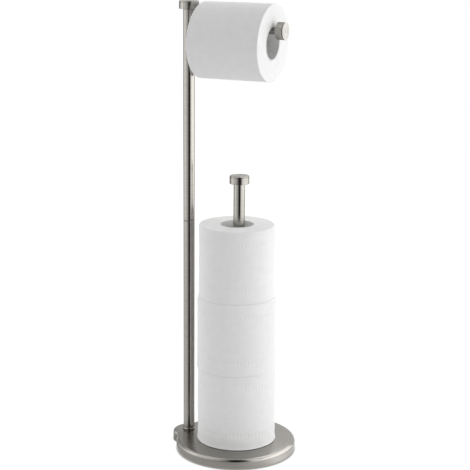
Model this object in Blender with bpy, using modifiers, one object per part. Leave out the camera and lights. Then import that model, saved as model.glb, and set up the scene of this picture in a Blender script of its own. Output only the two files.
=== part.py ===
# Free-standing toilet paper stand in brushed nickel.
# A weighted round base carries a tall post on a lobe at its edge and a shorter spindle near its middle.
# A thin arm on the post holds the roll in use, and three spare rolls stand on the spindle.
# Metres, +Z up. +X runs along the arm, from the post towards the knob on its end.
# The origin is on the floor, under the middle of the base's outline.

import math

import bmesh
import bpy

MM = 0.001

# Clearances
seat_gap = 0.3 * MM          # between pieces that seat on each other
thread_gap = 0.3 * MM        # between a stud and its hole, and a plug and its tube
cut_overrun = 2.0 * MM       # how far a cutter runs past the face it cuts
weld_distance = 0.03 * MM    # points closer than this are one point

# Base: a disc with a lobe, joined by two hollow blends
base_radius = 85.5 * MM
base_height = 16.0 * MM
base_edge_radius = 4.5 * MM
lobe_radius = 23.0 * MM
lobe_blend_radius = 8.0 * MM
post_inset = 10.0 * MM       # post's axis, in from the disc's rim
cover_wall = 1.2 * MM
cover_lift = 0.8 * MM        # the cover's rim stays this far off the floor
weight_side_gap = 0.5 * MM
counterbore_side_gap = 1.5 * MM  # round the washers
pad_thickness = 2.0 * MM
pad_side_gap = 1.0 * MM
pad_hole_margin = 1.0 * MM   # the pad's holes, wider than the counterbores by this

# Tubes of the post and the spindle
rod_radius = 8.0 * MM
tube_wall = 1.2 * MM
tube_chamfer = 0.5 * MM
stand_height = 636.5 * MM
joint_height = 329.0 * MM
spindle_height = 400.2 * MM

# Disc caps
cap_radius = 13.75 * MM
cap_height = 11.0 * MM
cap_chamfer = 0.5 * MM
cap_bore_depth = 7.0 * MM
face_groove_width = 1.0 * MM     # turned just behind the face of each cap and of the knob
face_groove_depth = 0.8 * MM

# Plugs inside the tubes
foot_flange = 1.6 * MM
foot_lip = 0.7 * MM          # the flange stands out past the tube by this
foot_plug_length = 20.0 * MM
foot_bore_depth = 15.0 * MM
joint_plug_length = 20.0 * MM
top_plug_length = 14.0 * MM
socket_length = 18.0 * MM
socket_plug_gap = 0.8 * MM   # between the post's top plug and the arm's socket below it
socket_web = 2.5 * MM        # left behind the arm's blind hole

# Screws, studs and washers
screw_radius = 4.0 * MM
screw_head_lift = 1.5 * MM    # floor to the underside of a screw's head
screw_tip_gap = 3.0 * MM      # left between a screw and the blind end of its plug
screw_head_radius = 6.5 * MM
screw_head_height = 4.0 * MM
screw_socket_radius = 3.0 * MM
screw_socket_depth = 2.2 * MM
washer_radius = 8.0 * MM
washer_thickness = 1.6 * MM
lock_washer_radius = 7.0 * MM
lock_washer_thickness = 2.0 * MM
lock_washer_slit = 1.4 * MM
joint_stud_length = 30.0 * MM
cap_stud_radius = 3.0 * MM
cap_stud_length = 17.0 * MM
arm_stud_radius = 2.5 * MM

# Arm
arm_radius = 4.75 * MM
arm_bore_depth = 11.0 * MM
knob_radius = 11.8 * MM
knob_length = 11.0 * MM
knob_chamfer = 0.5 * MM
knob_bore_depth = 7.0 * MM

# Rolls
roll_width = 104.5 * MM
roll_edge_radius = 2.6 * MM
core_inner_radius = 22.0 * MM
core_wall = 1.0 * MM
hanging_roll_radius = 52.2 * MM
hanging_roll_post_gap = 13.15 * MM    # between the post and the roll in use
hanging_roll_knob_gap = 7.3 * MM      # between the roll in use and the knob
top_roll_radius = 53.5 * MM
lower_roll_radius = 55.6 * MM
# Where each spare roll has come to rest on the spindle, as shares of the slack in its core
bottom_rest_shares = (-0.30, 0.39)
middle_rest_shares = (-0.35, 0.36)
top_rest_shares = (-0.36, 0.35)

# Facets
disc_steps = 60
blend_steps = 4
lobe_steps = 16
edge_steps = 3
tube_steps = 32
cap_steps = 34
fastener_steps = 16
socket_sides = 6
roll_steps = 48
roll_edge_steps = 3

# Places worked out from the sizes
post_to_base = base_radius - post_inset
base_x = (post_to_base + lobe_radius - base_radius) / 2
post_x = base_x - post_to_base
core_slack = core_inner_radius - rod_radius
post_to_spindle = rod_radius + seat_gap + core_slack + lower_roll_radius  # a roll clears the post anywhere
spindle_x = post_x + post_to_spindle
tube_bore = rod_radius - tube_wall
plug_radius = tube_bore - thread_gap
weight_bottom = pad_thickness + seat_gap
weight_top = base_height - cover_wall - seat_gap
weight_inset = cover_wall + weight_side_gap
screw_head_top = screw_head_lift + screw_head_height
lock_washer_top = screw_head_top + seat_gap + lock_washer_thickness
washer_top = lock_washer_top + seat_gap + washer_thickness
counterbore_top = washer_top + seat_gap
counterbore_radius = washer_radius + counterbore_side_gap
pad_hole_radius = counterbore_radius + pad_hole_margin
foot_bottom = base_height + seat_gap
screw_length = foot_bottom + foot_bore_depth - screw_tip_gap - screw_head_top
foot_tube_bottom = foot_bottom + foot_flange + seat_gap
socket_end = plug_radius - socket_web  # how far the arm's hole runs past the post's axis
socket_top = stand_height - cap_height - seat_gap - top_plug_length - socket_plug_gap
arm_height = socket_top - socket_length / 2
hanging_roll_far_face = rod_radius + hanging_roll_post_gap  # from the post's axis, as the next two
knob_back = hanging_roll_far_face + roll_width + hanging_roll_knob_gap
arm_back = knob_back - seat_gap
core_radius = core_inner_radius + core_wall
paper_bore = core_radius + seat_gap
hanging_roll_drop = core_inner_radius - arm_radius - seat_gap
roll_pitch = roll_width + seat_gap

# Finishes: colour, roughness, metallic
FINISHES = {
    "brushed_nickel": ((0.52, 0.50, 0.47), 0.32, 1.0),
    "cast_iron": ((0.10, 0.10, 0.11), 0.70, 0.7),
    "zinc_plate": ((0.62, 0.63, 0.65), 0.38, 0.9),
    "rubber": ((0.03, 0.03, 0.03), 0.85, 0.0),
    "tissue_paper": ((0.88, 0.88, 0.87), 0.90, 0.0),
    "core_card": ((0.62, 0.60, 0.57), 0.90, 0.0),
}


def clear_scene():
    for item in list(bpy.data.objects):
        bpy.data.objects.remove(item, do_unlink=True)


def make_collection(name):
    collection = bpy.data.collections.new(name)
    bpy.context.scene.collection.children.link(collection)
    return collection


def finish(name):
    """The named finish as a material, made once."""
    material = bpy.data.materials.get(name)
    if material is None:
        colour, roughness, metallic = FINISHES[name]
        material = bpy.data.materials.new(name)
        material.use_nodes = True
        shader = material.node_tree.nodes["Principled BSDF"]
        shader.inputs["Base Color"].default_value = (*colour, 1.0)
        shader.inputs["Roughness"].default_value = roughness
        shader.inputs["Metallic"].default_value = metallic
        material.diffuse_color = (*colour, 1.0)
    return material


def add_object(name, mesh, collection, finish_name=None):
    item = bpy.data.objects.new(name, mesh)
    collection.objects.link(item)
    if finish_name:
        mesh.materials.clear()
        mesh.materials.append(finish(finish_name))
    return item


def shade_round(mesh):
    """Smooth shading that keeps the real edges sharp."""
    mesh.shade_smooth()
    mesh.set_sharp_from_angle(angle=math.radians(35))


def arc(centre_x, centre_y, radius, start, end, steps):
    """Points of an arc from the start angle up to, but not including, the end angle."""
    points = []
    for step in range(steps):
        angle = start + (end - start) * step / steps
        points.append((centre_x + radius * math.cos(angle), centre_y + radius * math.sin(angle)))
    return points


def base_outline(inset):
    """The base's outline drawn in by inset: disc, hollow blend, lobe, hollow blend, counter-clockwise."""
    disc = base_radius - inset
    lobe = lobe_radius - inset
    blend = lobe_blend_radius + inset
    along = ((disc + blend) ** 2 - (lobe + blend) ** 2 + post_to_base ** 2) / (2 * post_to_base)
    across = math.sqrt((disc + blend) ** 2 - along ** 2)
    disc_end = math.atan2(across, -along)
    lobe_start = math.atan2(across, post_to_base - along)
    points = arc(base_x, 0, disc, -disc_end, disc_end, disc_steps)
    points += arc(base_x - along, across, blend, math.atan2(-across, along),
                  math.atan2(-across, along - post_to_base), blend_steps)
    points += arc(post_x, 0, lobe, lobe_start, 2 * math.pi - lobe_start, lobe_steps)
    points += arc(base_x - along, -across, blend, math.atan2(across, along - post_to_base),
                  math.atan2(across, along), blend_steps)
    return points


def plate_mesh(name, outline, low, high, open_below=False):
    """A flat plate between two heights, made from a filled 2D curve, with single faces above and below."""
    curve = bpy.data.curves.new(name + "_outline", "CURVE")
    curve.dimensions = "2D"
    curve.fill_mode = "BOTH"
    curve.extrude = (high - low) / 2
    spline = curve.splines.new("POLY")
    spline.points.add(len(outline) - 1)
    for point, (x, y) in zip(spline.points, outline):
        point.co = (x, y, 0, 1)
    spline.use_cyclic_u = True
    guide = bpy.data.objects.new(name + "_outline", curve)
    bpy.context.scene.collection.objects.link(guide)
    guide.location.z = (high + low) / 2
    bpy.context.view_layer.update()
    evaluated = guide.evaluated_get(bpy.context.evaluated_depsgraph_get())
    mesh = bpy.data.meshes.new_from_object(evaluated)
    mesh.transform(guide.matrix_world)
    bpy.data.objects.remove(guide, do_unlink=True)
    bpy.data.curves.remove(curve)

    bm = bmesh.new()
    bm.from_mesh(mesh)
    bmesh.ops.remove_doubles(bm, verts=bm.verts, dist=weld_distance)
    bmesh.ops.dissolve_limit(bm, angle_limit=math.radians(1), verts=bm.verts, edges=bm.edges)
    bmesh.ops.recalc_face_normals(bm, faces=bm.faces)
    middle = (high + low) / 2
    if open_below:
        bottoms = [face for face in bm.faces if face.normal.z < -0.5]
        bmesh.ops.delete(bm, geom=bottoms, context="FACES_ONLY")
    weights = bm.edges.layers.float.new("bevel_weight_edge")
    for edge in bm.edges:
        is_rim = abs(edge.verts[0].co.z - edge.verts[1].co.z) < weld_distance
        if is_rim and edge.verts[0].co.z > middle:
            edge[weights] = 1.0
    bm.to_mesh(mesh)
    bm.free()
    return mesh


def turned(name, profile, finish_name, collection, steps, closed=False):
    """A turned piece: the profile's (radius, height) points swept round the local Z axis.
    The profile runs from the axis at the top, down the outer side, and back to the axis.
    A closed profile is a loop that stays clear of the axis, as in a tube."""
    mesh = bpy.data.meshes.new(name)
    corners = [(radius, 0, height) for radius, height in profile]
    edges = [(index, index + 1) for index in range(len(corners) - 1)]
    if closed:
        edges.append((len(corners) - 1, 0))
    mesh.from_pydata(corners, edges, [])
    item = add_object(name, mesh, collection, finish_name)
    sweep = item.modifiers.new("Turn", "SCREW")
    sweep.axis = "Z"
    sweep.angle = 2 * math.pi
    sweep.screw_offset = 0
    sweep.steps = steps
    sweep.render_steps = steps
    sweep.use_merge_vertices = True
    sweep.merge_threshold = weld_distance
    sweep.use_smooth_shade = False
    return item


def settle(item):
    """Turns an object's modifiers into its mesh, shaded smooth where it is round."""
    bpy.context.view_layer.update()
    evaluated = item.evaluated_get(bpy.context.evaluated_depsgraph_get())
    mesh = bpy.data.meshes.new_from_object(evaluated)
    mesh.name = item.name
    old = item.data
    item.modifiers.clear()
    item.data = mesh
    bpy.data.meshes.remove(old)
    shade_round(mesh)
    return item


def cylinder_cutter(name, radius, length, steps=tube_steps):
    """A cutter whose lower face is centred on its origin, standing along its local Z axis."""
    mesh = bpy.data.meshes.new(name)
    bm = bmesh.new()
    bmesh.ops.create_cone(bm, cap_ends=True, segments=steps, radius1=radius, radius2=radius, depth=length)
    bmesh.ops.translate(bm, verts=bm.verts, vec=(0, 0, length / 2))
    bm.to_mesh(mesh)
    bm.free()
    cutter = add_object(name, mesh, cutters)
    cutter.display_type = "WIRE"
    cutter.hide_render = True
    return cutter


def cut(item, cutter):
    hole = item.modifiers.new("Cut " + cutter.name, "BOOLEAN")
    hole.operation = "DIFFERENCE"
    hole.solver = "EXACT"
    hole.object = cutter
    return hole


def along_arm(item, from_post, height=arm_height):
    """Lays a turned piece along +X, with its origin at a distance from the post's axis."""
    item.rotation_euler = (0, math.pi / 2, 0)
    item.location = (post_x + from_post, 0, height)


def base_cover():
    """Pressed shell: the outline with a rounded top edge, open below, with two screw holes."""
    mesh = plate_mesh("base_cover", base_outline(0), cover_lift, base_height, open_below=True)
    item = add_object("base_cover", mesh, stand, "brushed_nickel")
    rounding = item.modifiers.new("Rounded edge", "BEVEL")
    rounding.width = base_edge_radius
    rounding.segments = edge_steps
    rounding.limit_method = "WEIGHT"
    wall = item.modifiers.new("Wall", "SOLIDIFY")
    wall.thickness = cover_wall
    wall.offset = -1
    wall.use_even_offset = True
    for place, x in (("post", post_x), ("spindle", spindle_x)):
        depth = cover_wall + 2 * cut_overrun
        cutter = cylinder_cutter("cover_hole_" + place, screw_radius + thread_gap, depth, fastener_steps)
        cutter.location = (x, 0, base_height - cover_wall - cut_overrun)
        cut(item, cutter)
    return settle(item)


def base_weight():
    """Cast ballast plate, with a screw hole and a counterbore from below at the post and the spindle."""
    mesh = plate_mesh("base_weight", base_outline(weight_inset), weight_bottom, weight_top)
    item = add_object("base_weight", mesh, stand, "cast_iron")
    rounding = item.modifiers.new("Rounded edge", "BEVEL")
    rounding.width = base_edge_radius - cover_wall
    rounding.segments = edge_steps
    rounding.limit_method = "WEIGHT"
    for place, x in (("post", post_x), ("spindle", spindle_x)):
        hole_length = weight_top - weight_bottom + 2 * cut_overrun
        hole = cylinder_cutter("weight_hole_" + place, screw_radius + thread_gap, hole_length, fastener_steps)
        hole.location = (x, 0, weight_bottom - cut_overrun)
        cut(item, hole)
        pocket_length = counterbore_top - weight_bottom + cut_overrun
        pocket = cylinder_cutter("weight_pocket_" + place, counterbore_radius, pocket_length)
        pocket.location = (x, 0, weight_bottom - cut_overrun)
        cut(item, pocket)
    return settle(item)


def base_pad():
    """Thin non-slip sheet that the stand rests on, with a hole under each screw head."""
    inset = cover_wall + pad_side_gap
    mesh = plate_mesh("base_pad", base_outline(inset), 0, pad_thickness)
    item = add_object("base_pad", mesh, stand, "rubber")
    for place, x in (("post", post_x), ("spindle", spindle_x)):
        cutter = cylinder_cutter("pad_hole_" + place, pad_hole_radius, pad_thickness + 2 * cut_overrun)
        cutter.location = (x, 0, -cut_overrun)
        cut(item, cutter)
    return settle(item)


def base_screw(name, x):
    """Socket screw, up through the base into a foot plug."""
    head_bottom = -screw_head_height
    profile = [
        (0, screw_length),
        (screw_radius, screw_length),
        (screw_radius, 0),
        (screw_head_radius, 0),
        (screw_head_radius, head_bottom),
        (0, head_bottom),
    ]
    item = turned(name, profile, "zinc_plate", stand, fastener_steps)
    item.location = (x, 0, screw_head_top)
    socket_reach = screw_socket_depth + cut_overrun
    socket = cylinder_cutter(name + "_socket", screw_socket_radius, socket_reach, socket_sides)
    socket.location = (x, 0, screw_head_top - screw_head_height - cut_overrun)
    cut(item, socket)
    return settle(item)


def washer(name, x, top, radius, thickness):
    """Flat ring round a base screw."""
    hole = screw_radius + thread_gap
    profile = [(hole, 0), (radius, 0), (radius, -thickness), (hole, -thickness)]
    item = turned(name, profile, "zinc_plate", stand, fastener_steps, closed=True)
    item.location = (x, 0, top)
    return item


def lock_washer(name, x):
    """Split washer with its slit."""
    item = washer(name, x, lock_washer_top, lock_washer_radius, lock_washer_thickness)
    mesh = bpy.data.meshes.new(name + "_slit")
    bm = bmesh.new()
    bmesh.ops.create_cube(bm, size=1)
    slit_height = lock_washer_thickness + 2 * cut_overrun
    bmesh.ops.scale(bm, verts=bm.verts, vec=(lock_washer_radius, lock_washer_slit, slit_height))
    bm.to_mesh(mesh)
    bm.free()
    slit = add_object(name + "_slit", mesh, cutters)
    slit.display_type = "WIRE"
    slit.hide_render = True
    slit.location = (x + lock_washer_radius, 0, lock_washer_top - lock_washer_thickness / 2)
    cut(item, slit)
    return settle(item)


def foot_plug(name, x):
    """Flanged plug in the foot of a tube. Its flange shows as a thin ring on the base."""
    bore = screw_radius + thread_gap
    profile = [
        (0, foot_plug_length),
        (plug_radius, foot_plug_length),
        (plug_radius, foot_flange),
        (rod_radius, foot_flange),
        (rod_radius + foot_lip, foot_flange - foot_lip),
        (rod_radius + foot_lip, 0),
        (bore, 0),
        (bore, foot_bore_depth),
        (0, foot_bore_depth),
    ]
    item = turned(name, profile, "brushed_nickel", stand, tube_steps)
    item.location = (x, 0, foot_bottom)
    return settle(item)


def tube_profile(length):
    """Wall of a tube from its foot at zero, with a small chamfer on each outer end."""
    return [
        (tube_bore, length),
        (rod_radius - tube_chamfer, length),
        (rod_radius, length - tube_chamfer),
        (rod_radius, tube_chamfer),
        (rod_radius - tube_chamfer, 0),
        (tube_bore, 0),
    ]


def tube(name, x, low, high):
    item = turned(name, tube_profile(high - low), "brushed_nickel", stand, tube_steps, closed=True)
    item.location = (x, 0, low)
    return item


def threaded_plug(name, x, low, length, hole_radius):
    """A plain plug inside a tube, bored right through for a stud."""
    profile = [
        (hole_radius, length),
        (plug_radius, length),
        (plug_radius, 0),
        (hole_radius, 0),
    ]
    item = turned(name, profile, "zinc_plate", stand, fastener_steps, closed=True)
    item.location = (x, 0, low)
    return settle(item)


def stud(name, radius, length):
    profile = [(0, length), (radius, length), (radius, 0), (0, 0)]
    return turned(name, profile, "zinc_plate", stand, fastener_steps)


def arm_hole_cutter():
    """The stud's hole, from past the tube's wall to a blind end behind the post's axis."""
    start = rod_radius + cut_overrun
    cutter = cylinder_cutter("arm_hole", arm_stud_radius + thread_gap, start + socket_end, fastener_steps)
    along_arm(cutter, -socket_end)
    return cutter


def arm_socket(cutter):
    """Cross-drilled block inside the post that the arm's stud screws into."""
    profile = [(0, socket_length), (plug_radius, socket_length), (plug_radius, 0), (0, 0)]
    item = turned("arm_socket", profile, "zinc_plate", stand, fastener_steps)
    item.location = (post_x, 0, arm_height - socket_length / 2)
    cut(item, cutter)
    return settle(item)


def disc_profile(radius, height, chamfer, bore, bore_depth):
    """A disc with its face on top, a fine groove just behind the face, and a blind hole from below."""
    groove_top = height - chamfer
    return [
        (0, height),
        (radius - chamfer, height),
        (radius, groove_top),
        (radius - face_groove_depth, groove_top - face_groove_width / 2),
        (radius, groove_top - face_groove_width),
        (radius, chamfer),
        (radius - chamfer, 0),
        (bore, 0),
        (bore, bore_depth),
        (0, bore_depth),
    ]


def disc_cap(name, x, top):
    """Flat disc cap with a blind hole below for its stud."""
    bore = cap_stud_radius + thread_gap
    profile = disc_profile(cap_radius, cap_height, cap_chamfer, bore, cap_bore_depth)
    item = turned(name, profile, "brushed_nickel", stand, cap_steps)
    item.location = (x, 0, top - cap_height)
    return settle(item)


def arm_rod():
    """Solid arm, bored at both ends, with its inner end coped to sit on the round post."""
    bore = arm_stud_radius + thread_gap
    profile = [
        (0, arm_back - arm_bore_depth),
        (bore, arm_back - arm_bore_depth),
        (bore, arm_back),
        (arm_radius, arm_back),
        (arm_radius, 0),
        (bore, 0),
        (bore, rod_radius + arm_bore_depth),
        (0, rod_radius + arm_bore_depth),
    ]
    item = turned("arm_rod", profile, "brushed_nickel", stand, tube_steps)
    along_arm(item, 0)
    cope_height = 2 * (arm_radius + cut_overrun)
    cope = cylinder_cutter("arm_cope", rod_radius + seat_gap, cope_height)
    cope.location = (post_x, 0, arm_height - cope_height / 2)
    cut(item, cope)
    return settle(item)


def arm_knob():
    """Disc knob that keeps the roll on, with a blind hole behind for its stud."""
    bore = arm_stud_radius + thread_gap
    profile = disc_profile(knob_radius, knob_length, knob_chamfer, bore, knob_bore_depth)
    item = turned("arm_knob", profile, "brushed_nickel", stand, cap_steps)
    along_arm(item, knob_back)
    return settle(item)


def roll_profile(radius):
    """Section of the wound paper: flat ends, with the outer edges softly rounded."""
    points = [(paper_bore, roll_width)]
    for step in range(roll_edge_steps + 1):
        angle = math.pi / 2 * (1 - step / roll_edge_steps)
        points.append((
            radius - roll_edge_radius + roll_edge_radius * math.cos(angle),
            roll_width - roll_edge_radius + roll_edge_radius * math.sin(angle),
        ))
    for step in range(roll_edge_steps + 1):
        angle = -math.pi / 2 * step / roll_edge_steps
        points.append((
            radius - roll_edge_radius + roll_edge_radius * math.cos(angle),
            roll_edge_radius + roll_edge_radius * math.sin(angle),
        ))
    points.append((paper_bore, 0))
    return points


def roll(name, radius):
    """A roll on its own axis: the wound paper and its card core, with their origin at the roll's foot."""
    paper = turned(name + "_paper", roll_profile(radius), "tissue_paper", rolls, roll_steps, closed=True)
    core_section = [
        (core_inner_radius, roll_width),
        (core_radius, roll_width),
        (core_radius, 0),
        (core_inner_radius, 0),
    ]
    core = turned(name + "_core", core_section, "core_card", rolls, roll_steps, closed=True)
    axis = bpy.data.objects.new(name, None)
    rolls.objects.link(axis)
    for item in (paper, core):
        settle(item)
        item.parent = axis
    return axis


def hanging_roll():
    """The roll in use: the top of its core hangs on the arm."""
    axis = roll("hanging_roll", hanging_roll_radius)
    along_arm(axis, hanging_roll_far_face, arm_height - hanging_roll_drop)


def spare_roll(name, radius, level, rest_shares):
    """A spare roll on the spindle, where it has come to rest within the slack of its core."""
    axis = roll(name, radius)
    axis.location = (
        spindle_x + core_slack * rest_shares[0],
        core_slack * rest_shares[1],
        foot_bottom + roll_pitch * level,
    )


def upright(prefix, x, top):
    """What the post and the spindle share: screw and washers below, foot plug, top plug, cap and its stud."""
    base_screw(prefix + "_screw", x)
    lock_washer(prefix + "_lock_washer", x)
    settle(washer(prefix + "_washer", x, washer_top, washer_radius, washer_thickness))
    foot_plug(prefix + "_foot_plug", x)
    cap_bottom = top - cap_height
    tube_top = cap_bottom - seat_gap
    threaded_plug(prefix + "_top_plug", x, tube_top - top_plug_length, top_plug_length,
                  cap_stud_radius + thread_gap)
    disc_cap(prefix + "_cap", x, top)
    cap_stud = stud(prefix + "_cap_stud", cap_stud_radius, cap_stud_length)
    cap_stud.location = (x, 0, cap_bottom + cap_bore_depth - seat_gap - cap_stud_length)
    settle(cap_stud)
    return tube_top


def post():
    """The tall post: two tubes joined by a stud, with the arm's socket inside the upper one."""
    tube_top = upright("post", post_x, stand_height)
    joint_low = joint_height - seat_gap / 2
    joint_high = joint_height + seat_gap / 2
    settle(tube("post_lower_tube", post_x, foot_tube_bottom, joint_low))
    stud_hole = screw_radius + thread_gap
    lower_plug_foot = joint_low - joint_plug_length
    threaded_plug("post_lower_joint_plug", post_x, lower_plug_foot, joint_plug_length, stud_hole)
    threaded_plug("post_upper_joint_plug", post_x, joint_high, joint_plug_length, stud_hole)
    joint_stud = stud("post_joint_stud", screw_radius, joint_stud_length)
    joint_stud.location = (post_x, 0, joint_height - joint_stud_length / 2)
    settle(joint_stud)

    hole = arm_hole_cutter()
    upper = tube("post_upper_tube", post_x, joint_high, tube_top)
    cut(upper, hole)
    settle(upper)
    arm_socket(hole)


def arm():
    """The arm, its knob and the two studs that hold them."""
    arm_rod()
    arm_knob()
    inner = stud("arm_stud", arm_stud_radius, socket_end + rod_radius + arm_bore_depth - 2 * seat_gap)
    along_arm(inner, seat_gap - socket_end)
    settle(inner)
    outer_start = arm_back - arm_bore_depth + seat_gap
    outer_end = knob_back + knob_bore_depth - seat_gap
    outer = stud("knob_stud", arm_stud_radius, outer_end - outer_start)
    along_arm(outer, outer_start)
    settle(outer)


def spindle():
    """The shorter upright that the spare rolls stand on."""
    tube_top = upright("spindle", spindle_x, spindle_height)
    settle(tube("spindle_tube", spindle_x, foot_tube_bottom, tube_top))


clear_scene()
stand = make_collection("toilet_paper_stand")
rolls = make_collection("toilet_paper_rolls")
cutters = make_collection("cutters")

base_cover()
base_weight()
base_pad()
post()
spindle()
arm()
hanging_roll()
spare_roll("spare_roll_bottom", lower_roll_radius, 0, bottom_rest_shares)
spare_roll("spare_roll_middle", lower_roll_radius, 1, middle_rest_shares)
spare_roll("spare_roll_top", top_roll_radius, 2, top_rest_shares)

for cutter_object in cutters.objects:
    cutter_object.hide_set(True)
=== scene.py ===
# Looks of a free-standing toilet paper stand in brushed nickel, with a roll in use and three spare rolls.
# Metres, +Z up, in the frame of the solids. The camera looks from the front right.

import math

import bmesh
import bpy
import numpy as np
from mathutils import Matrix, Vector


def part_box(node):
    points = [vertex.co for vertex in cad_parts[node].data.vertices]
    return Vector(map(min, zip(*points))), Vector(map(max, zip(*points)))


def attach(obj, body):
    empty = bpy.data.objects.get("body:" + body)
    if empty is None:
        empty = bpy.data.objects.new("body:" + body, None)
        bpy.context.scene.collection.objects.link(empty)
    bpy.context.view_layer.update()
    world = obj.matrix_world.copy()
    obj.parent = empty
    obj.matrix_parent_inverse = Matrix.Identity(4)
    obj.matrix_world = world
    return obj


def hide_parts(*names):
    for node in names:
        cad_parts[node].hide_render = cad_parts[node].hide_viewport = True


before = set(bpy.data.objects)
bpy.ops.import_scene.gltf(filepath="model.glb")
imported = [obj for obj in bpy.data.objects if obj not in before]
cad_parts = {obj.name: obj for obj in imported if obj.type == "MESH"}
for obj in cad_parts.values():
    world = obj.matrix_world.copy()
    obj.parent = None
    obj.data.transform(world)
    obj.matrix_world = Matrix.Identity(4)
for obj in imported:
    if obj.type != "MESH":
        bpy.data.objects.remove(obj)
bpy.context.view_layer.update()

MM = 0.001

# Base, as in the solids, with a soft slope along the rim of its top
base_radius = 85.5 * MM
base_edge_radius = 4.5 * MM
lobe_blend_radius = 8.0 * MM
shoulder_width = 13.0 * MM   # of the soft slope
shoulder_drop = 0.4 * MM
cover_wall = 1.2 * MM
screw_hole_radius = 4.3 * MM
pad_inset = 2.2 * MM
pad_edge_radius = 0.4 * MM
pad_hole_radius = 10.5 * MM

# Turned metal, as in the solids
tube_wall = 1.2 * MM
rounding = 0.5 * MM          # on the ends of tubes and the backs of discs
fine_rounding = 0.25 * MM    # on thin edges
face_plate = 0.7 * MM        # in front of the groove in the caps and the knob
face_rounding = 0.35 * MM
face_groove_width = 0.9 * MM
face_groove_depth = 0.8 * MM
joint_opening = 0.25 * MM    # the dark line between the post's tubes is wider than their gap by this
foot_flange = 1.6 * MM
foot_rise = 1.0 * MM         # the foot's bright ring reaches up by this much more
foot_undercut_height = 1.5 * MM
foot_undercut_depth = 1.0 * MM
foot_bore_depth = 15.0 * MM
plug_clearance = 0.3 * MM
cap_bore_radius = 3.3 * MM
cap_bore_depth = 7.0 * MM
arm_bore_radius = 2.8 * MM
arm_bore_depth = 11.0 * MM
seat_gap = 0.3 * MM
cut_overrun = 2.0 * MM       # how far a cutter reaches past what it cuts

# Rolls
core_wall = 1.0 * MM
free_edge_radius = 2.4 * MM
hanging_edge_radii = (2.0 * MM, 1.0 * MM)   # at the post's end and at the knob's end
hanging_skew = 1.5 * MM          # the ends of the roll in use lean out by this at the top
seated_edge_radius = 1.3 * MM    # where the lowest roll stands on the base
shoulder_edge_radius = 1.0 * MM  # of the lowest roll's upper end
meeting_edge_radius = 0.3 * MM   # of the end that stands on it
close_edge_radius = 0.2 * MM     # where two rolls meet most closely, under the top roll
meeting_fill = 0.13 * MM         # how far the soft ends of such rolls swell towards each other
meeting_rise = 1.8 * MM          # the rolls meet this much higher than in the solids
swell_reach = 5.0 * MM           # along the roll, from an end that swells or narrows
foot_swell = 1.4 * MM            # of the lowest roll at the base
foot_lean = 4.4 * MM             # the lowest roll's foot stands nearer to the camera than its top by this
low_swell = 0.3 * MM             # of the middle roll over the lowest one, whose top narrows as much
top_swell = 1.0 * MM             # of the top roll over the middle one, whose top narrows as much
groove_depth = 0.12 * MM         # of the soft groove that the embossed marks lie in
groove_width = 4.5 * MM
ridge_height = 0.07 * MM         # of the soft rings near the ends
ridge_pitch = 5.5 * MM
ridge_drift = 0.6                # how unevenly they run
ridge_reach = 11 * MM            # how far from the ends they fade
drift_orders = 3                 # kinds of soft waves round the roll, in the drift of the rings
unround_amount = 0.16 * MM
unround_orders = 4
ripple_amount = 0.05 * MM
ripple_orders = 3
ripple_turns = 3                 # how much finer the ripples are than the other waves, round the roll
ripple_rises = 6                 # and along it
wave_rises = 3                   # kinds of soft waves along the roll, from none to one whole wave
smallest_wave = 0.3              # share of the largest
layer_droop = 0.3 * MM           # how far the layers' edges lie in from the flat end
firm_share = 0.15                # of the paper's thickness, at its outside, where they droop less
end_tilt = 0.04 * MM             # unevenness of the flat ends
tilt_orders = 2
mouth_width = 0.35 * MM          # the paper opens out round the end of its core by this
mouth_depth = 0.9 * MM
tail_step = 0.4 * MM             # at the loose end of the outer sheet
seam_step = 0.25 * MM            # at the spiral seam of the card core
seam_pitch = 62.0 * MM
seam_fade = 8                    # the step fades out over one eighth of a turn
emboss_depth = 0.35 * MM
emboss_inset = 20.0 * MM         # from each end of the roll to the middle of the embossed band
emboss_height = 6.4 * MM
emboss_width = 2.3 * MM
emboss_lean = 0.25               # of the marks, sideways per length, to the left and right in turn
emboss_count = 64

# Facets
sharp_angle = math.radians(35)
merge_distance = 0.001 * MM
disc_steps = 180
blend_steps = 14
lobe_steps = 48
turn_steps = 128
hole_steps = 64
fillet_steps = 6
fillet_support = 3               # the point beside a fillet stands off by the fillet's radius over this
rim_support = 6                  # the same, beside the base's rounded edge
shoulder_steps = 8
paper_steps = 6 * emboss_count
edge_steps = 8
band_reach = 0.75                # of the close rows of an embossed band, each way, in heights of a mark
band_rows = 11
between_rows = 26                # from band to band
end_rows = 9                     # from a band to the roll's edge
layer_rings = 36                 # across the flat end of a roll
core_steps = 160
core_rings = 60

# Camera: the position is measured from the disc's centre, along and across the line of sight
view_yaw = math.radians(24.81)
view_pitch = math.radians(13.56)
view_roll = math.radians(0.46)
view_distance = 1896.6 * MM
view_offset = -3.32 * MM
view_height = 773.0 * MM
to_camera = (math.sin(view_yaw), -math.cos(view_yaw))
image_width = 470
focal_pixels = 1397.55
sensor_width = 36.0
nearest_seen = 50 * MM

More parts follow.
